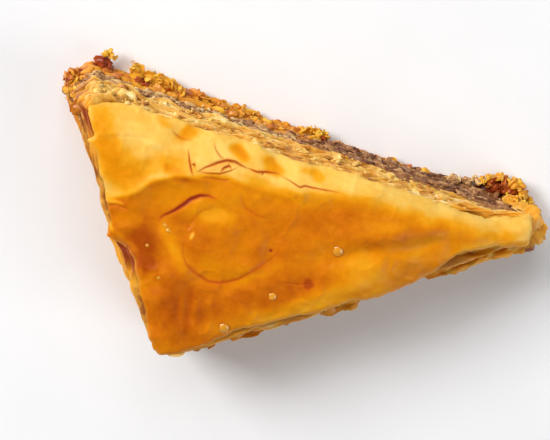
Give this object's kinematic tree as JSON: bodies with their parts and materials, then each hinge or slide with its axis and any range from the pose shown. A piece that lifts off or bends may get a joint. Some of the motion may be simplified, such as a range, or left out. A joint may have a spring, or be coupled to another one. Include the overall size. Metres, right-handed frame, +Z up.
{
  "type": "baklava piece",
  "caption": "Right-triangular baklava piece: thin browned base sheets, a ground-nut filling and a deep stack of flaky sheets under a syrup-glazed, blistered top sheet.",
  "frame": {"origin": "centre of the piece's footprint box, on the face that it rests on", "axes": "+X along the longest cut, from the sharp tip to the broad end; the longest cut faces -Y and the square corner points to +Y; +Z up through the layers"},
  "size_m": [0.1045, 0.0545, 0.025],
  "materials": {
    "base_pastry": "crisp baked sheets, browned and soaked with syrup at the rims",
    "ground_nuts": "damp, coarse ground nuts with spice",
    "glazed_pastry": "pale layered sheets under a golden top sheet with a syrup glaze"
  },
  "bodies": {
    "root": {"base_sheets": "base_pastry", "nut_filling": "ground_nuts", "pastry_stack": "glazed_pastry"}
  },
  "joints": []
}
